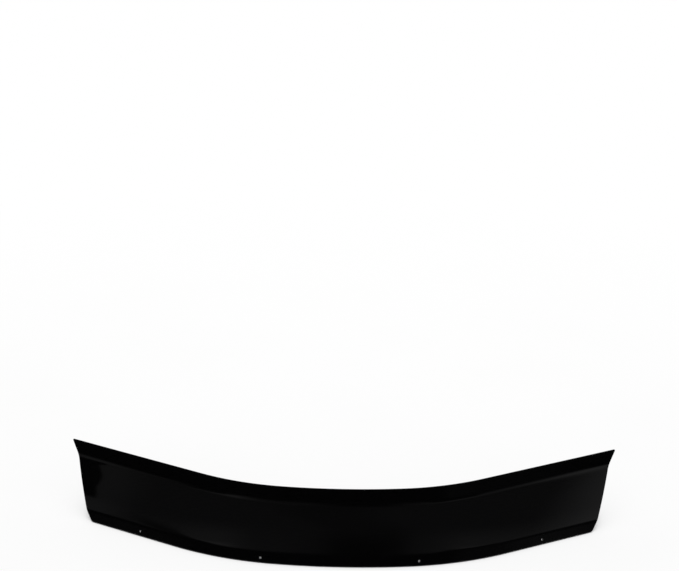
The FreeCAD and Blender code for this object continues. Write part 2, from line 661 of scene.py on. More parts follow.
        first_row = len(self.low_margins)
        size = range(self.patch_cells)
        starts = patches + [-column - self.patch_cells for column in patches]
        open_cells = {(start + dx, first_row + dy) for start in starts for dx in size for dy in size}
        front = self.add_skin(grid, open_cells, 0.0)
        back = self.add_skin(grid, open_cells, -self.section.sheet)
        distances = self.holes.distances(self.plan)
        for start, distance in zip(starts, distances + [-distance for distance in distances]):
            sides = [self.patch_sides(start, first_row, skin) for skin in (front, back)]
            self.add_hole((distance, self.holes.rise), *sides)

        reach, last = len(grid) - 1, len(rows) - 1
        keys = [(column, 0) for column in range(-reach, reach + 1)]
        keys += [(reach, row) for row in range(1, last + 1)]
        keys += [(column, last) for column in range(reach - 1, -reach - 1, -1)]
        keys += [(-reach, row) for row in range(last - 1, 0, -1)]
        outline = [self.rim_at(key, reach, last, lower, upper, end) for key in keys]
        self.add_rim(outline, [front[key] for key in keys], [back[key] for key in keys])
        self.slant_ends(columns[-1])
        return self.make_mesh()

    def slant_ends(self, start: float) -> None:
        """Slant the cut through the sheet's thickness, so that both skins end in the same upright plane.

        Args:
            start: Distance from the middle where the slant begins to grow.
        """
        for number, (distance, rise, depth) in enumerate(self.points):
            if depth < 0.0 and abs(distance) > start:
                end = self.plan.end_at(self.section, rise)
                reach = self.plan.end_at(self.section, rise, -depth) - end
                share = (abs(distance) - start) / (end - start)
                self.points[number] = (distance + math.copysign(1.0, distance) * reach * share, rise, depth)

    def rim_at(self, key: Cell, reach: int, last: int,
               lower: list[Rim], upper: list[Rim], end: list[Rim]) -> Rim:
        """Find the rim point beside a point of the skin's border.

        Args:
            key: Column and row of the border point.
            reach: The last column.
            last: The last row.
            lower: Rim points of the lower outline.
            upper: Rim points of the top outline.
            end: Rim points of the end.

        Returns:
            The rim point.
        """
        column, row = key
        if abs(column) == reach:
            rim = end[row]
        else:
            rim = lower[abs(column)] if row == 0 else upper[abs(column)]
        return rim.mirrored() if column < 0 else rim

    def edge_wear(self, distance: float, rise: float, ends: dict[float, float]) -> float:
        """Tell how exposed a point is to the wear that starts at the cut edges and the holes.

        Args:
            distance: Distance from the middle.
            rise: Distance up the section.
            ends: Ends of the rows that are known already, by rise.

        Returns:
            1 at an edge, falling to 0 away from it.
        """
        row = round(rise, self.rise_digits)
        if row not in ends:
            ends[row] = self.plan.end_at(self.section, row)
        gaps = [rise, self.section.developed_height() - rise, ends[row] - abs(distance)]
        for hole in self.holes.distances(self.plan):
            gaps.append(math.hypot(abs(distance) - hole, rise - self.holes.rise) - self.holes.diameter / 2.0)
        return math.exp(-max(min(gaps), 0.0) / self.wear_reach)

    def make_mesh(self) -> bpy.types.Mesh:
        """Make the mesh from the points and faces.

        Returns:
            The mesh, without the points that the holes' patches leave over.
        """
        kept = [number for number in range(len(self.points)) if number not in self.unused]
        renumbered = {number: new for new, number in enumerate(kept)}
        faces = [tuple(renumbered[number] for number in face) for face in self.faces]
        mesh = bpy.data.meshes.new("flat_blank")
        mesh.from_pydata([self.points[number] for number in kept], [], faces)
        marks = mesh.attributes.new("cut_edge", "FLOAT", "POINT")
        marks.data.foreach_set("value", [self.cut[number] for number in kept])
        ends = {}
        wear = mesh.attributes.new("edge_wear", "FLOAT", "POINT")
        wear.data.foreach_set("value", [self.edge_wear(*self.points[number][:2], ends) for number in kept])
        mesh.update()
        return mesh


class Shade(Enum):
    """Colours of the studio and the sheet, as linear red, green and blue."""

    ACRYLIC = (0.0011, 0.0011, 0.0012)
    CUT_ACRYLIC = (0.010, 0.010, 0.011)
    SCUFFED_ACRYLIC = (0.0035, 0.0035, 0.0037)
    DUST = (0.16, 0.155, 0.15)
    FLOOR = (0.93, 0.93, 0.93)
    WORN_FLOOR = (0.915, 0.915, 0.912)
    WHITE = (1.0, 1.0, 1.0)

    def rgba(self) -> tuple[float, float, float, float]:
        """Return the shade with full alpha."""
        return (*self.value, 1.0)


class Mixing(Enum):
    """What a Mix node mixes: its data type, then the places of its two inputs and of its result."""

    NUMBERS = ("FLOAT", 2, 3, 0)
    COLOURS = ("RGBA", 6, 7, 2)


@dataclass(frozen=True)
class Ramp:
    """A smooth change of level, from the bottom at a value's first limit to the top at its second."""

    low: float
    high: float
    bottom: float = 0.0
    top: float = 1.0


class NodeSheet:
    """A node tree that is built line by line."""

    def __init__(self, tree: Tree) -> None:
        """Keep the tree that the nodes go into."""
        self.tree = tree

    def add(self, kind: str, inputs: dict | None = None, **settings: object) -> bpy.types.Node:
        """Add a node.

        Args:
            kind: Type name of the node.
            inputs: Values or sockets for its inputs, by name or place.
            **settings: Properties of the node.

        Returns:
            The node.
        """
        node = self.tree.nodes.new(kind)
        for name, value in settings.items():
            setattr(node, name, value)
        for key, value in (inputs or {}).items():
            self.put(value, node.inputs[key])
        return node

    def put(self, value: object, socket: Socket) -> None:
        """Fill an input.

        Args:
            value: A socket, which is linked to the input, or the plain value that the input is set to.
            socket: The input.
        """
        if isinstance(value, Socket):
            self.tree.links.new(value, socket)
        else:
            socket.default_value = value

    def math(self, operation: str, *values: object) -> Socket:
        """Add a Math node.

        Args:
            operation: What the node works out.
            *values: Its inputs, sockets or numbers.

        Returns:
            Its result.
        """
        return self.add("ShaderNodeMath", dict(enumerate(values)), operation=operation).outputs[0]

    def plus(self, first: object, second: object) -> Socket:
        """Return the sum of two numbers."""
        return self.math("ADD", first, second)

    def minus(self, first: object, second: object) -> Socket:
        """Return the first number less the second."""
        return self.math("SUBTRACT", first, second)

    def times(self, first: object, second: object) -> Socket:
        """Return the product of two numbers."""
        return self.math("MULTIPLY", first, second)

    def larger(self, first: object, second: object) -> Socket:
        """Return the larger of two numbers."""
        return self.math("MAXIMUM", first, second)

    def smooth_step(self, value: object, low: object, high: object, bottom: object = 0.0,
                    top: object = 1.0) -> Socket:
        """Add a smooth step of a value between two limits.

        Args:
            value: The value.
            low: Its first limit.
            high: Its second limit.
            bottom: Level at the first limit.
            top: Level at the second limit.

        Returns:
            The level.
        """
        inputs = {"Value": value, "From Min": low, "From Max": high, "To Min": bottom, "To Max": top}
        return self.add("ShaderNodeMapRange", inputs, interpolation_type="SMOOTHSTEP").outputs["Result"]

    def ramp(self, value: object, ramp: Ramp) -> Socket:
        """Return the level of a ramp at a value."""
        return self.smooth_step(value, ramp.low, ramp.high, ramp.bottom, ramp.top)

    def mix(self, mixing: Mixing, share: object, first: object, second: object) -> Socket:
        """Add a Mix node.

        Args:
            mixing: What it mixes.
            share: Share of the second input.
            first: First input.
            second: Second input.

        Returns:
            The mixture.
        """
        kind, first_place, second_place, result = mixing.value
        inputs = {0: share, first_place: first, second_place: second}
        return self.add("ShaderNodeMix", inputs, data_type=kind).outputs[result]

    def place(self) -> Socket:
        """Return the place on the object, in Object coordinates."""
        return self.add("ShaderNodeTexCoord").outputs["Object"]

    def noise(self, place: Socket, scale: object, detail: float, **inputs: object) -> Socket:
        """Return the value of a noise texture, which varies about a half."""
        inputs |= {"Vector": place, "Scale": scale, "Detail": detail}
        return self.add("ShaderNodeTexNoise", inputs).outputs[0]

    def mask(self, group: Tree, **inputs: object) -> Socket:
        """Return the mask that a shader group gives for these inputs."""
        return self.add("ShaderNodeGroup", inputs, node_tree=group).outputs["Mask"]

    def seen(self) -> Socket:
        """Tell the rays that show a surface from those that only light another one.

        Returns:
            1 for rays of the camera, of a reflection or through glass, 0 for rays that only bring light.
        """
        rays = self.add("ShaderNodeLightPath").outputs
        shown = self.larger(rays["Is Camera Ray"], rays["Is Glossy Ray"])
        return self.larger(shown, rays["Is Transmission Ray"])


def bare_material(name: str) -> tuple[bpy.types.Material, NodeSheet]:
    """Start a material.

    Args:
        name: Its name.

    Returns:
        The material, and its node tree without nodes.
    """
    material = bpy.data.materials.new(name)
    material.use_nodes = True
    material.node_tree.nodes.clear()
    return material, NodeSheet(material.node_tree)


def group_tree(name: str, kind: str, outputs: dict[str, str], numbers: dict[str, float],
               links: dict[str, str] | None = None) -> Tree:
    """Start a node group with named sockets.

    Args:
        name: Name of the group.
        kind: Type of the tree.
        outputs: Socket type of each result.
        numbers: Default value of each number that goes in.
        links: Socket type of each input that is no number.

    Returns:
        The empty group.
    """
    tree = bpy.data.node_groups.new(name, kind)
    for label, socket_type in outputs.items():
        tree.interface.new_socket(name=label, in_out="OUTPUT", socket_type=socket_type)
    for label, socket_type in (links or {}).items():
        tree.interface.new_socket(name=label, in_out="INPUT", socket_type=socket_type)
    for label, value in numbers.items():
        socket = tree.interface.new_socket(name=label, in_out="INPUT", socket_type="NodeSocketFloat")
        socket.default_value = value
    return tree


def mask_group(name: str, numbers: dict[str, float]) -> tuple[Tree, NodeSheet, Outputs]:
    """Start a shader group that gives one mask.

    Args:
        name: Name of the group.
        numbers: Default value of each number that goes in.

    Returns:
        The group, its node tree and the outputs of the node that the numbers come in by.
    """
    tree = group_tree(name, "ShaderNodeTree", {"Mask": "NodeSocketFloat"}, numbers)
    sheet = NodeSheet(tree)
    return tree, sheet, sheet.add("NodeGroupInput").outputs


class FormingTool:
    """Geometry Nodes tree that bends the flat blank to its section and its plan."""

    RUN_INPUTS = ("Distance", "Length", "Turn", "Along", "Across", "Angle")
    SECTION_RUNS = ("Band", "Low Bend", "Face", "High Bend", "Lip")
    PLAN_RUNS = ("Middle", "Shoulder", "Wing")
    RIPPLE_STRETCH = (1.0, 1.6, 0.0)

    def __init__(self) -> None:
        """Build the tree for one run and the tree for the whole sheet."""
        self.run_tree = self.build_run_tree()
        self.tree = self.build_tree()

    def build_run_tree(self) -> Tree:
        """Build the group that follows one run of constant curvature, as far as a distance goes.

        Returns:
            The group.
        """
        results = dict.fromkeys(("Distance", "Along", "Across", "Angle"), "NodeSocketFloat")
        tree = group_tree("Follow run", "GeometryNodeTree", results, dict.fromkeys(self.RUN_INPUTS, 0.0))
        sheet = NodeSheet(tree)
        given = sheet.add("NodeGroupInput").outputs
        reached = sheet.math("MINIMUM", sheet.larger(given["Distance"], 0.0), given["Length"])
        turned = sheet.times(given["Turn"], sheet.math("DIVIDE", reached, given["Length"]))
        half = sheet.larger(sheet.math("ABSOLUTE", sheet.times(turned, 0.5)), LEAST_NODE_HALF_TURN)
        chord = sheet.times(reached, sheet.math("DIVIDE", sheet.math("SINE", half), half))
        middle = sheet.math("MULTIPLY_ADD", turned, 0.5, given["Angle"])
        sheet.add("NodeGroupOutput", {
            "Distance": sheet.minus(given["Distance"], given["Length"]),
            "Along": sheet.math("MULTIPLY_ADD", chord, sheet.math("COSINE", middle), given["Along"]),
            "Across": sheet.math("MULTIPLY_ADD", chord, sheet.math("SINE", middle), given["Across"]),
            "Angle": sheet.plus(turned, given["Angle"]),
        })
        return tree

    def follow_runs(self, sheet: NodeSheet, given: Outputs, names: tuple[str, ...],
                    distance: Socket, along: object, angle: object) -> Outputs:
        """Chain the runs of the section or of the plan.

        Args:
            sheet: Tree that the runs go into.
            given: Outputs of the tree's input node.
            names: Names of the runs.
            distance: How far to follow them.
            along: Where the first run starts.
            angle: Direction at its start.

        Returns:
            The outputs of the last run.
        """
        place = {"Distance": distance, "Along": along, "Across": 0.0, "Angle": angle}
        for name in names:
            run = sheet.add("GeometryNodeGroup", place, node_tree=self.run_tree)
            sheet.put(given[name + " Length"], run.inputs["Length"])
            sheet.put(given[name + " Turn"], run.inputs["Turn"])
            place = {label: run.outputs[label] for label in place}
        return run.outputs

    def ripple(self, sheet: NodeSheet, given: Outputs, position: Socket) -> Socket:
        """Add the faint waves that a hot sheet keeps, the same on both skins.

        Args:
            sheet: Tree that the waves go into.
            given: Outputs of the tree's input node.
            position: Place on the flat blank.

        Returns:
            How far the waves lift the sheet.
        """
        flat = sheet.add("ShaderNodeVectorMath", {0: position, 1: self.RIPPLE_STRETCH}, operation="MULTIPLY")
        waves = {"Vector": flat.outputs[0], "Scale": given["Ripple Scale"], "Detail": 1.0}
        waves["W"] = given["Ripple Seed"]
        noise = sheet.add("ShaderNodeTexNoise", waves, noise_dimensions="4D").outputs[0]
        return sheet.times(sheet.minus(noise, 0.5), given["Ripple Height"])

    def build_tree(self) -> Tree:
        """Build the tree that forms the sheet.

        Returns:
            The tree.
        """
        numbers = {"Foot Height": 0.0, "Band Lean": 0.0, "Shift Back": 0.0}
        for name in self.SECTION_RUNS + self.PLAN_RUNS:
            numbers[name + " Length"] = 1.0
            numbers[name + " Turn"] = 0.0
        numbers.update({"Ripple Height": 0.0, "Ripple Scale": 10.0, "Ripple Seed": 0.0})
        links = {"Blank": "NodeSocketGeometry", "Finish": "NodeSocketMaterial"}
        results = {"Sheet": "NodeSocketGeometry"}
        tree = group_tree("Form the sheet", "GeometryNodeTree", results, numbers, links)
        sheet = NodeSheet(tree)
        given = sheet.add("NodeGroupInput").outputs
        position = sheet.add("GeometryNodeInputPosition").outputs[0]
        distance, rise, depth = sheet.add("ShaderNodeSeparateXYZ", {0: position}).outputs
        foot, lean = given["Foot Height"], given["Band Lean"]
        section = self.follow_runs(sheet, given, self.SECTION_RUNS, rise, foot, lean)
        plan = self.follow_runs(sheet, given, self.PLAN_RUNS, sheet.math("ABSOLUTE", distance), 0.0, 0.0)
        lift = sheet.plus(depth, self.ripple(sheet, given, position))

        level = sheet.times(lift, sheet.math("COSINE", section["Angle"]))
        set_back = sheet.minus(section["Across"], level)
        turned = sheet.times(set_back, sheet.math("SINE", plan["Angle"]))
        x = sheet.times(sheet.math("SIGN", distance), sheet.minus(plan["Along"], turned))
        behind = sheet.math("MULTIPLY_ADD", set_back, sheet.math("COSINE", plan["Angle"]), plan["Across"])
        y = sheet.plus(behind, given["Shift Back"])
        z = sheet.math("MULTIPLY_ADD", lift, sheet.math("SINE", section["Angle"]), section["Along"])
        place = sheet.add("ShaderNodeCombineXYZ", {0: x, 1: y, 2: z}).outputs[0]
        formed = sheet.add("GeometryNodeSetPosition", {"Geometry": given["Blank"], "Position": place})
        smooth = sheet.add("GeometryNodeSetShadeSmooth", {"Geometry": formed.outputs[0]})
        real = sheet.add("GeometryNodeRealizeInstances", {"Geometry": smooth.outputs[0]})
        finish = {"Geometry": real.outputs[0], "Material": given["Finish"]}
        dressed = sheet.add("GeometryNodeSetMaterial", finish)
        sheet.add("NodeGroupOutput", {"Sheet": dressed.outputs[0]})
        return tree

    def form(self, blank: bpy.types.Mesh, values: dict[str, object], name: str) -> bpy.types.Object:
        """Form a blank and turn the result into a plain mesh.

        Args:
            blank: The flat blank.
            values: Value of each named input of the tree.
            name: Name of the piece.

        Returns:
            The finished piece, in the scene.
        """
        raw = bpy.data.objects.new(name + "_blank", blank)
        bpy.context.scene.collection.objects.link(raw)
        modifier = raw.modifiers.new("forming", "NODES")
        modifier.node_group = self.tree
        items = self.tree.interface.items_tree
        identifiers = {item.name: item.identifier for item in items if item.in_out == "INPUT"}
        for label, value in values.items():
            modifier[identifiers[label]] = value
        evaluated = raw.evaluated_get(bpy.context.evaluated_depsgraph_get())
        mesh = bpy.data.meshes.new_from_object(evaluated)
        raw.modifiers.remove(modifier)
        bpy.data.objects.remove(raw)
        piece = bpy.data.objects.new(name, mesh)
        bpy.context.scene.collection.objects.link(piece)
        return piece


@dataclass(frozen=True)
class SoftMottle:
    """Soft, uneven patches, such as handling marks or the floor's faint tone."""

    scale: float = 10.0
    low: float = 0.4
    high: float = 0.7
    detail: float = 4.0

    def group(self) -> Tree:
        """Build the shader group.

        Returns:
            The group, which gives a mask from 0 to 1.
        """
        numbers = {"Scale": self.scale, "Low": self.low, "High": self.high}
        tree, sheet, given = mask_group("Soft mottle", numbers)
        noise = sheet.noise(sheet.place(), given["Scale"], self.detail)
        sheet.add("NodeGroupOutput", {"Mask": sheet.smooth_step(noise, given["Low"], given["High"])})
        return tree


@dataclass(frozen=True)
class FineDust:
    """Fine dust specks, each in a cell of its own; the cover is the share of the cells that hold one."""

    scale: float = 900.0
    cover: float = 0.1
    speck: Ramp = Ramp(0.10, 0.22, 1.0, 0.0)

    def group(self) -> Tree:
        """Build the shader group.

        Returns:
            The group, which gives a mask from 0 to 1.
        """
        tree, sheet, given = mask_group("Fine dust", {"Scale": self.scale, "Cover": self.cover})
        cells = sheet.add("ShaderNodeTexVoronoi", {"Vector": sheet.place(), "Scale": given["Scale"]}).outputs
        chance = sheet.add("ShaderNodeSeparateColor", {0: cells["Color"]}).outputs[0]
        chosen = sheet.math("LESS_THAN", chance, given["Cover"])
        sheet.add("NodeGroupOutput", {"Mask": sheet.times(sheet.ramp(cells["Distance"], self.speck), chosen)})
        return tree


@dataclass(frozen=True)
class WipingHairlines:
    """Fine hairlines that wiping leaves along the sheet, in two directions and in patches.

    Each direction has its turn about the depth axis, in radians, and how far its lines are stretched.
    """

    scale: float = 60.0
    cover: float = 0.35
    line_detail: float = 6.0
    line_roughness: float = 0.8
    line: Ramp = Ramp(0.006, 0.0)
    patch_scale: float = 7.0
    patch_detail: float = 2.0
    patch_foot: float = 0.85
    patch_head: float = 1.0
    directions: tuple[tuple[float, Triple], ...] = ((0.10, (0.10, 1.0, 1.6)), (-0.22, (0.14, 1.3, 1.9)))

    def group(self) -> Tree:
        """Build the shader group.

        Returns:
            The group, which gives a mask from 0 to 1.
        """
        tree, sheet, given = mask_group("Wiping hairlines", {"Scale": self.scale, "Cover": self.cover})
        place = sheet.place()
        patches = sheet.noise(place, self.patch_scale, self.patch_detail)
        masks = []
        for turn, stretch in self.directions:
            mapping = {"Vector": place, "Rotation": (0.0, turn, 0.0), "Scale": stretch}
            turned = sheet.add("ShaderNodeMapping", mapping).outputs[0]
            lines = sheet.noise(turned, given["Scale"], self.line_detail, Roughness=self.line_roughness)
            masks.append(sheet.ramp(sheet.math("ABSOLUTE", sheet.minus(lines, 0.5)), self.line))
        foot = sheet.minus(self.patch_foot, given["Cover"])
        head = sheet.minus(self.patch_head, given["Cover"])
        worn = sheet.smooth_step(patches, foot, head)
        sheet.add("NodeGroupOutput", {"Mask": sheet.times(sheet.larger(*masks), worn)})
        return tree


@dataclass(frozen=True)
class PolishedAcrylic:
    """Black acrylic sheet: polished skins, scuffed along the edges and duller where they were routed."""

    ior: float = 1.49
    gloss: float = 0.035
    smudged: float = 0.075
    scratched: float = 0.11
    scuffed: float = 0.13
    routed: float = 0.30
    smudge_scale: float = 14.0
    scuff_scale: float = 420.0
    scuff_limits: Pair = (0.45, 0.70)
    hairline_scale: float = 60.0
    dust_scale: float = 1100.0
    dust_cover: float = 0.03
    dust_strength: float = 0.08
    tooth_scale: float = 1500.0
    tooth_limits: Pair = (0.3, 0.7)
    hairline_depth: float = 0.2
    relief_strength: float = 0.20
    relief_height: float = 0.00005

    def make(self, mottle: Tree, dust: Tree, hairlines: Tree) -> bpy.types.Material:
        """Build the material.

        Args:
            mottle: Shader group of soft patches.
            dust: Shader group of dust specks.
            hairlines: Shader group of fine scratches.

        Returns:
            The material.
        """
        material, sheet = bare_material("polished_black_acrylic")
        cut = sheet.add("ShaderNodeAttribute", attribute_name="cut_edge").outputs["Fac"]
        near_edge = sheet.add("ShaderNodeAttribute", attribute_name="edge_wear").outputs["Fac"]
        low, high = self.scuff_limits
        scuffs = sheet.times(near_edge, sheet.mask(mottle, Scale=self.scuff_scale, Low=low, High=high))
        low, high = self.tooth_limits
        tooth = sheet.times(sheet.mask(mottle, Scale=self.tooth_scale, Low=low, High=high), cut)
        lines = sheet.mask(hairlines, Scale=self.hairline_scale)
        specks = sheet.mask(dust, Scale=self.dust_scale, Cover=self.dust_cover)

        colour = sheet.mix(Mixing.COLOURS, cut, Shade.ACRYLIC.rgba(), Shade.CUT_ACRYLIC.rgba())
        colour = sheet.mix(Mixing.COLOURS, scuffs, colour, Shade.SCUFFED_ACRYLIC.rgba())
        dusty = sheet.times(specks, self.dust_strength)
        colour = sheet.mix(Mixing.COLOURS, dusty, colour, Shade.DUST.rgba())

        smudges = sheet.mask(mottle, Scale=self.smudge_scale)
        rough = sheet.smooth_step(smudges, 0.0, 1.0, self.gloss, self.smudged)
        for share, roughness in ((lines, self.scratched), (scuffs, self.scuffed), (cut, self.routed)):
            rough = sheet.mix(Mixing.NUMBERS, share, rough, roughness)
        height = sheet.minus(tooth, sheet.times(lines, self.hairline_depth))
        relief = {"Strength": self.relief_strength, "Distance": self.relief_height, "Height": height}
        normal = sheet.add("ShaderNodeBump", relief).outputs[0]
        look = {"Base Color": colour, "Roughness": rough, "IOR": self.ior, "Normal": normal}
        shader = sheet.add("ShaderNodeBsdfPrincipled", look)
        sheet.add("ShaderNodeOutputMaterial", {"Surface": shader.outputs[0]})
        return material


@dataclass
class DeflectorShield:
    """The deflector: one formed sheet that stands for the CAD node.

    The end is raked outwards, so the wing runs on straight past its lower edge. The wing reach is how far it
    may go in all, in wing lengths.
    """

    section: SheetSection = SheetSection()
    plan: SweptPlan = SweptPlan()
    holes: HoleLayout = HoleLayout()
    wing_reach: float = 2.0
    ripple_height: float = 0.0003
    ripple_scale: float = 9.0
    ripple_seed: float = 3.7

    def shift_back(self) -> float:
        """Find how far back the frame's origin puts the lower edge, from the CAD model's inner hole.

        Returns:
            The shift.
        """
        mounts = {mount["name"]: mount for mount in frame["record"]["mounts"]}
        mount = mounts["hole_right_inner"]
        place, heading = self.plan.at(self.holes.inner_from_middle)
        depth = self.section.at(self.holes.rise)[1]
        behind = self.section.sheet / 2.0 * math.cos(self.section.band_lean)
        return mount["pos_m"][1] - (place[1] + (depth + behind) * math.cos(heading))

    def values(self, material: bpy.types.Material) -> dict[str, object]:
        """Gather the inputs of the forming tree.

        Args:
            material: Finish of the sheet.

        Returns:
            The value of each named input.
        """
        values = {
            "Foot Height": self.section.foot_height(),
            "Band Lean": self.section.band_lean,
            "Shift Back": self.shift_back(),
            "Ripple Height": self.ripple_height,
            "Ripple Scale": self.ripple_scale,
            "Ripple Seed": self.ripple_seed,
            "Finish": material,
        }
        named = list(zip(FormingTool.SECTION_RUNS, self.section.runs()))
        named += list(zip(FormingTool.PLAN_RUNS, self.plan.runs()))
        for name, run in named:
            values[name + " Length"] = run.length
            values[name + " Turn"] = run.turn
        values["Wing Length"] *= self.wing_reach
        return values

    def build(self, finish: bpy.types.Material) -> bpy.types.Object:
        """Form, dress and place the sheet.

        Args:
            finish: Material of the sheet.

        Returns:
            The piece.
        """
        blank = FlatBlank(self.section, self.plan, self.holes).build()
        piece = FormingTool().form(blank, self.values(finish), "formed_sheet")
        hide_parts(NODE)
        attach(piece, BODY)
        log.info("formed_sheet: %d faces", len(piece.data.polygons))
        return piece


@dataclass(frozen=True)
class Viewpoint:
    """The photograph's camera, fitted to the outline of the sheet in a picture of 679 by 571 pixels."""

    picture_width: float = 679.0
    picture_height: float = 571.0
    focal_pixels: float = 1596.27
    sensor: float = 36.0
    azimuth: float = math.radians(1.072)
    elevation: float = math.radians(20.673)
    roll: float = math.radians(-0.660)
    distance: float = 2.9414
    aim_behind_lower_edge: float = 0.080
    aim_height: float = 0.0508
    aim_pixel: Pair = (340.69, 521.01)

    def place(self, shift_back: float) -> bpy.types.Object:
        """Place the camera.

        Args:
            shift_back: Depth of the sheet's lower edge in the frame.

        Returns:
            The camera, made the scene's own.
        """
        cos_up, sin_up = math.cos(self.elevation), math.sin(self.elevation)
        back = Vector((math.sin(self.azimuth) * cos_up, -math.cos(self.azimuth) * cos_up, sin_up))
        level = Vector((math.cos(self.azimuth), math.sin(self.azimuth), 0.0))
        upright = back.cross(level)
        right = level * math.cos(self.roll) - upright * math.sin(self.roll)
        up = level * math.sin(self.roll) + upright * math.cos(self.roll)
        aim = Vector((0.0, self.aim_behind_lower_edge + shift_back, self.aim_height))
        scale = self.distance / self.focal_pixels
        aside = (self.aim_pixel[0] - self.picture_width / 2.0) * scale
        above = (self.picture_height / 2.0 - self.aim_pixel[1]) * scale
        place = aim + back * self.distance - right * aside - up * above
        data = bpy.data.cameras.new("viewpoint")
        data.sensor_width = self.sensor
        data.sensor_fit = "HORIZONTAL"
        data.lens = self.sensor * self.focal_pixels / self.picture_width
        camera = bpy.data.objects.new("viewpoint", data)
        turn = Matrix((right, up, back)).transposed().to_4x4()
        camera.matrix_world = Matrix.Translation(place) @ turn
        bpy.context.scene.collection.objects.link(camera)
        bpy.context.scene.camera = camera
        return camera


def add_mesh(name: str, points: list[Triple], faces: Faces, material: bpy.types.Material) -> bpy.types.Object:
    """Add a mesh to the scene.

    Args:
        name: Name of the mesh and its object.
        points: Its points.
        faces: Its faces.
        material: Its material.

    Returns:
        The object.
    """
    mesh = bpy.data.meshes.new(name)
    mesh.from_pydata(points, [], faces)
    mesh.materials.append(material)
    item = bpy.data.objects.new(name, mesh)
    bpy.context.scene.collection.objects.link(item)
    return item


@dataclass
class TentPattern:
    """The light and dark areas of the tent, as nodes.

    The way is a place's direction from the middle, across and back are the direction's X and Y, and the rise
    is its height with a share of how far back it lies. Aside is how far it lies to either side. Left and
    right are those sides slanted with the rise, as the edges of the lights are. The ramps take these values,
    and their levels are brightness or shares of it.
    """

    sheet: NodeSheet
    back_share: float = 1.2
    slant_rise: float = 0.76
    left_slant: float = 0.27
    right_slant: float = 0.12
    roof: float = 0.046
    shade_middle: Ramp = Ramp(0.48, 0.66, 0.10, -0.06)
    shade_width: Ramp = Ramp(0.07, 0.27, 1.0, 0.0)
    shade_depth: Ramp = Ramp(0.28, 0.55, 0.95, 0.36)
    strip: Ramp = Ramp(0.54, 0.34, 0.0, 0.065)
    strip_inner_part: Ramp = Ramp(0.14, 0.30, 0.0, 0.18)
    strip_outer_part: Ramp = Ramp(0.36, 0.62, 0.0, 0.82)
    strip_left_end: Ramp = Ramp(0.64, 0.75, 1.0, 0.10)
    strip_rim: Ramp = Ramp(0.33, 0.25, 0.0, 0.090)
    strip_rim_start: Ramp = Ramp(0.47, 0.60, 0.25, 1.0)
    strip_rim_end: Ramp = Ramp(0.76, 0.64)
    side_window: Ramp = Ramp(0.74, 0.85, 0.0, 0.21)
    side_window_rise: Ramp = Ramp(0.10, 0.42, 0.30, 1.0)
    left_glow: Ramp = Ramp(0.72, 0.78, 0.0, 0.040)
    left_glow_rise: Ramp = Ramp(0.44, 0.53, 1.8, 1.0)
    foot: Ramp = Ramp(0.55, 0.85, -0.42, 0.10)
    foot_drop: Ramp = Ramp(0.74, 0.84, 0.0, 0.13)
    foot_drop_end: Ramp = Ramp(0.935, 0.915)
    head: float = 0.30
    right_bend_start: Ramp = Ramp(0.42, 0.52)
    right_bend_end: Ramp = Ramp(0.80, 0.72)
    right_bend_foot: float = 0.20
    right_bend_head: float = 0.29
    left_bend_start: Ramp = Ramp(-0.62, -0.70, 0.0, 0.85)
    left_bend_end: Ramp = Ramp(-0.83, -0.80)
    left_bend_head: Ramp = Ramp(-0.66, -0.80, 0.26, 0.46)
    left_bend_fade: float = 0.08
    flag_side: Ramp = Ramp(0.7495, 0.7535)
    flag_foot: Ramp = Ramp(0.485, 0.515)
    flag_slant: float = -0.055
    flag_waves: float = 0.015
    flag_wave_scale: float = 9.0
    side_glow: Ramp = Ramp(0.55, 0.85, 0.0, 0.012)
    side_glow_end: Ramp = Ramp(0.955, 0.925)
    low_glow: Ramp = Ramp(0.86, 0.90, 0.020, 0.046)
    low_glow_start: Ramp = Ramp(0.84, 0.95)
    low_glow_rise: Ramp = Ramp(-0.20, -0.40)
    low_glow_reach: float = 0.25
    rear: Ramp = Ramp(0.40, 0.80)

    def __post_init__(self) -> None:
        """Work out where each place of the tent lies."""
        sheet = self.sheet
        self.way = sheet.add("ShaderNodeVectorMath", {0: sheet.place()}, operation="NORMALIZE").outputs[0]
        self.across, self.back, height = sheet.add("ShaderNodeSeparateXYZ", {0: self.way}).outputs
        self.rise = sheet.math("MULTIPLY_ADD", self.back, self.back_share, height)
        above = sheet.minus(self.rise, self.slant_rise)
        self.aside = sheet.math("ABSOLUTE", self.across)
        self.left = sheet.minus(sheet.times(above, self.left_slant), self.across)
        self.right = sheet.math("MULTIPLY_ADD", above, self.right_slant, self.across)

    def both(self, first: Socket, first_ramp: Ramp, second: Socket, second_ramp: Ramp) -> Socket:
        """Return the product of one ramp's level and another's."""
        return self.sheet.times(self.sheet.ramp(first, first_ramp), self.sheet.ramp(second, second_ramp))

    def roof_light(self) -> Socket:
        """Light the roof, with a shade in its middle.

        Returns:
            The brightness.
        """
        sheet = self.sheet
        middle = sheet.ramp(self.rise, self.shade_middle)
        from_middle = sheet.math("ABSOLUTE", sheet.minus(self.across, middle))
        shade = self.both(from_middle, self.shade_width, self.rise, self.shade_depth)
        return sheet.times(sheet.minus(1.0, shade), self.roof)

    def strip_light(self) -> Socket:
        """Light the low strip in front, which has a brighter rim below it on both sides.

        Returns:
            The brightness.
        """
        sheet = self.sheet
        inner = sheet.ramp(self.aside, self.strip_inner_part)
        outer = sheet.ramp(self.aside, self.strip_outer_part)
        side = sheet.times(sheet.plus(inner, outer), sheet.ramp(self.left, self.strip_left_end))
        rim_side = self.both(self.aside, self.strip_rim_start, self.aside, self.strip_rim_end)
        rim = sheet.times(sheet.ramp(self.rise, self.strip_rim), rim_side)
        return sheet.times(sheet.plus(sheet.ramp(self.rise, self.strip), rim), side)

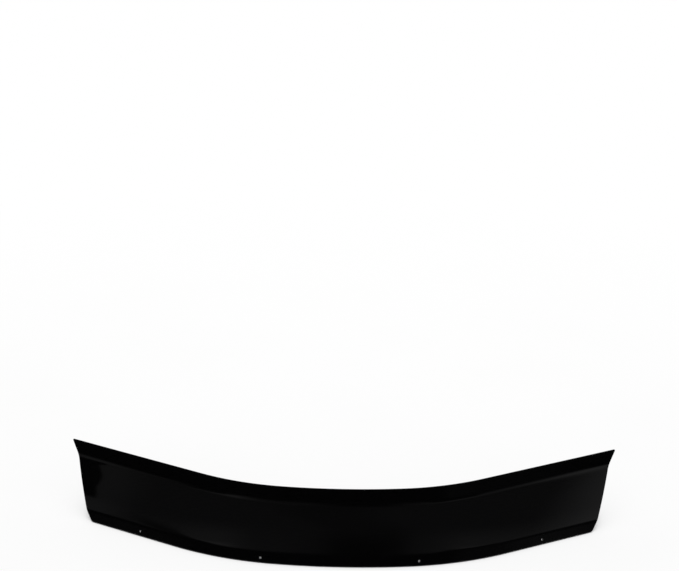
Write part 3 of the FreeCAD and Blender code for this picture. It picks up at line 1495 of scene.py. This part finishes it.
    def side_lights(self) -> Socket:
        """Light the window on the right and the weaker glow on the left.

        Returns:
            The brightness.
        """
        window = self.both(self.right, self.side_window, self.rise, self.side_window_rise)
        glow = self.both(self.left, self.left_glow, self.rise, self.left_glow_rise)
        return self.sheet.plus(window, glow)

    def lower_end(self) -> Socket:
        """Let the lights end downwards, between a foot and a head.

        Returns:
            The share of the light that is left.
        """
        sheet = self.sheet
        drop = self.both(self.across, self.foot_drop, self.across, self.foot_drop_end)
        foot = sheet.minus(sheet.ramp(self.aside, self.foot), drop)
        bend = self.both(self.across, self.right_bend_start, self.across, self.right_bend_end)
        foot = sheet.smooth_step(bend, 0.0, 1.0, foot, self.right_bend_foot)
        head = sheet.smooth_step(bend, 0.0, 1.0, self.head, self.right_bend_head)
        return sheet.smooth_step(self.rise, foot, head)

    def left_bend(self) -> Socket:
        """Darken the foot of the lights on the left, where the low bend shows it.

        Returns:
            The share of the light that is left.
        """
        sheet = self.sheet
        side = self.both(self.across, self.left_bend_start, self.across, self.left_bend_end)
        head = sheet.ramp(self.across, self.left_bend_head)
        below = sheet.smooth_step(self.rise, head, sheet.minus(head, self.left_bend_fade))
        return sheet.minus(1.0, sheet.times(side, below))

    def flag(self) -> Socket:
        """Hang a dark flag with a wavy edge on the left.

        Returns:
            The share of the light that is left.
        """
        sheet = self.sheet
        waves = sheet.minus(sheet.noise(self.way, self.flag_wave_scale, 1.0), 0.5)
        upright = sheet.math("MULTIPLY_ADD", self.rise, self.flag_slant, self.left)
        wavy = sheet.math("MULTIPLY_ADD", waves, self.flag_waves, upright)
        return sheet.minus(1.0, self.both(wavy, self.flag_side, self.rise, self.flag_foot))

    def low_lights(self) -> Socket:
        """Light the faint glow on the right and the one low down on both sides.

        Returns:
            The brightness.
        """
        sheet = self.sheet
        beside = self.both(self.across, self.side_glow, self.across, self.side_glow_end)
        reach = sheet.larger(sheet.plus(self.across, self.low_glow_reach), self.aside)
        below = self.both(reach, self.low_glow_start, self.rise, self.low_glow_rise)
        return sheet.larger(beside, sheet.times(below, sheet.ramp(self.across, self.low_glow)))

    def level(self) -> Socket:
        """Put the light and dark areas together.

        Returns:
            The strength of the glow.
        """
        sheet = self.sheet
        overhead = sheet.plus(self.roof_light(), self.strip_light())
        front = sheet.plus(overhead, self.side_lights())
        for kept_share in (self.lower_end(), self.left_bend(), self.flag()):
            front = sheet.times(front, kept_share)
        front = sheet.larger(front, self.low_lights())
        return sheet.larger(front, sheet.ramp(self.back, self.rear))


@dataclass(frozen=True)
class SoftTent:
    """A dim tent over the sheet, which only reflections see and which the black gloss shows."""

    radius: float = 1.1
    columns: int = 64
    rows: int = 32
    unseen_by: tuple[str, ...] = ("camera", "diffuse", "shadow", "transmission", "volume_scatter")

    def shell(self) -> tuple[list[Triple], Faces]:
        """Lay out the tent's sphere.

        Returns:
            Its points and faces.
        """
        points, faces = [], []
        for row in range(self.rows + 1):
            polar = math.pi * row / self.rows
            ring, height = self.radius * math.sin(polar), self.radius * math.cos(polar)
            for column in range(self.columns):
                angle = math.tau * column / self.columns
                points.append((ring * math.cos(angle), ring * math.sin(angle), height))
        for row in range(self.rows):
            for column in range(self.columns):
                after = (column + 1) % self.columns
                below, above = row * self.columns, (row + 1) * self.columns
                faces.append((below + column, below + after, above + after, above + column))
        return points, faces

    def build(self) -> None:
        """Build the tent."""
        material, sheet = bare_material("soft_tent")
        level = TentPattern(sheet).level()
        glow = sheet.add("ShaderNodeEmission", {"Color": Shade.WHITE.rgba(), "Strength": level})
        sheet.add("ShaderNodeOutputMaterial", {"Surface": glow.outputs[0]})
        tent = add_mesh("soft_tent", *self.shell(), material)
        for rays in self.unseen_by:
            setattr(tent, "visible_" + rays, False)


@dataclass(frozen=True)
class Studio:
    """Pale floor, even white surroundings and a soft lamp behind the sheet.

    The floor glow is the share of the floor's white that needs no light, by the distance from the middle. It
    ends where the sheet shelters the floor within the shelter reach, so the shadow under the sheet stays.
    """

    floor_radius: float = 30.0
    floor_sides: int = 96
    floor_tone_scale: float = 3.0
    floor_glow: Ramp = Ramp(0.9, 2.2, 0.7, 1.0)
    shelter_reach: float = 0.3
    shelter: Ramp = Ramp(0.45, 0.75)
    surroundings: float = 0.85
    lamp_power: float = 24.0
    lamp_size: float = 2.5
    lamp_place: Triple = (0.0, 1.6, 3.0)
    lamp_tilt: float = math.radians(-28.0)

    def floor(self, mottle: Tree) -> None:
        """Lay the floor, which keeps the shadow near the sheet and turns plain white away from it.

        Args:
            mottle: Shader group of soft patches.
        """
        material, sheet = bare_material("pale_floor")
        tone = sheet.mask(mottle, Scale=self.floor_tone_scale)
        tint = sheet.mix(Mixing.COLOURS, tone, Shade.FLOOR.rgba(), Shade.WORN_FLOOR.rgba())
        matt = sheet.add("ShaderNodeBsdfDiffuse", {"Color": tint})
        glow = sheet.add("ShaderNodeEmission", {"Color": Shade.WHITE.rgba()})
        away = sheet.add("ShaderNodeVectorMath", {0: sheet.place()}, operation="LENGTH").outputs["Value"]
        open_sky = sheet.add("ShaderNodeAmbientOcclusion", {"Distance": self.shelter_reach}).outputs["AO"]
        share = sheet.times(sheet.seen(), sheet.ramp(away, self.floor_glow))
        share = sheet.times(share, sheet.ramp(open_sky, self.shelter))
        mixed = sheet.add("ShaderNodeMixShader", {0: share, 1: matt.outputs[0], 2: glow.outputs[0]})
        sheet.add("ShaderNodeOutputMaterial", {"Surface": mixed.outputs[0]})
        ring = []
        for step in range(self.floor_sides):
            angle = math.tau * step / self.floor_sides
            ring.append((self.floor_radius * math.cos(angle), self.floor_radius * math.sin(angle), 0.0))
        floor = add_mesh("pale_floor", ring, [tuple(range(self.floor_sides))], material)

    def world(self) -> None:
        """Surround the scene with even white light."""
        world = bpy.data.worlds.new("white_surroundings")
        world.use_nodes = True
        world.node_tree.nodes.clear()
        sheet = NodeSheet(world.node_tree)
        level = sheet.smooth_step(sheet.seen(), 0.0, 1.0, self.surroundings, 1.0)
        light = sheet.add("ShaderNodeBackground", {"Color": Shade.WHITE.rgba(), "Strength": level})
        sheet.add("ShaderNodeOutputWorld", {"Surface": light.outputs[0]})
        bpy.context.scene.world = world

    def lamp(self) -> None:
        """Hang one wide soft lamp above and behind the sheet."""
        data = bpy.data.lights.new("soft_lamp", "AREA")
        data.energy = self.lamp_power
        data.size = self.lamp_size
        lamp = bpy.data.objects.new("soft_lamp", data)
        lamp.location = self.lamp_place
        lamp.rotation_euler = (self.lamp_tilt, 0.0, 0.0)
        bpy.context.scene.collection.objects.link(lamp)

    def build(self, mottle: Tree) -> None:
        """Set the whole studio up.

        Args:
            mottle: Shader group of soft patches.
        """
        self.floor(mottle)
        self.world()
        self.lamp()
        SoftTent().build()


def main() -> None:
    """Build the deflector and its studio."""
    logging.basicConfig(level=logging.INFO, format="%(name)s: %(message)s")
    mottle = SoftMottle().group()
    shield = DeflectorShield()
    shield.build(PolishedAcrylic().make(mottle, FineDust().group(), WipingHairlines().group()))
    Studio().build(mottle)
    Viewpoint().place(shield.shift_back())
    bpy.context.scene.view_settings.view_transform = "Standard"


if __name__ == "__main__":
    main()
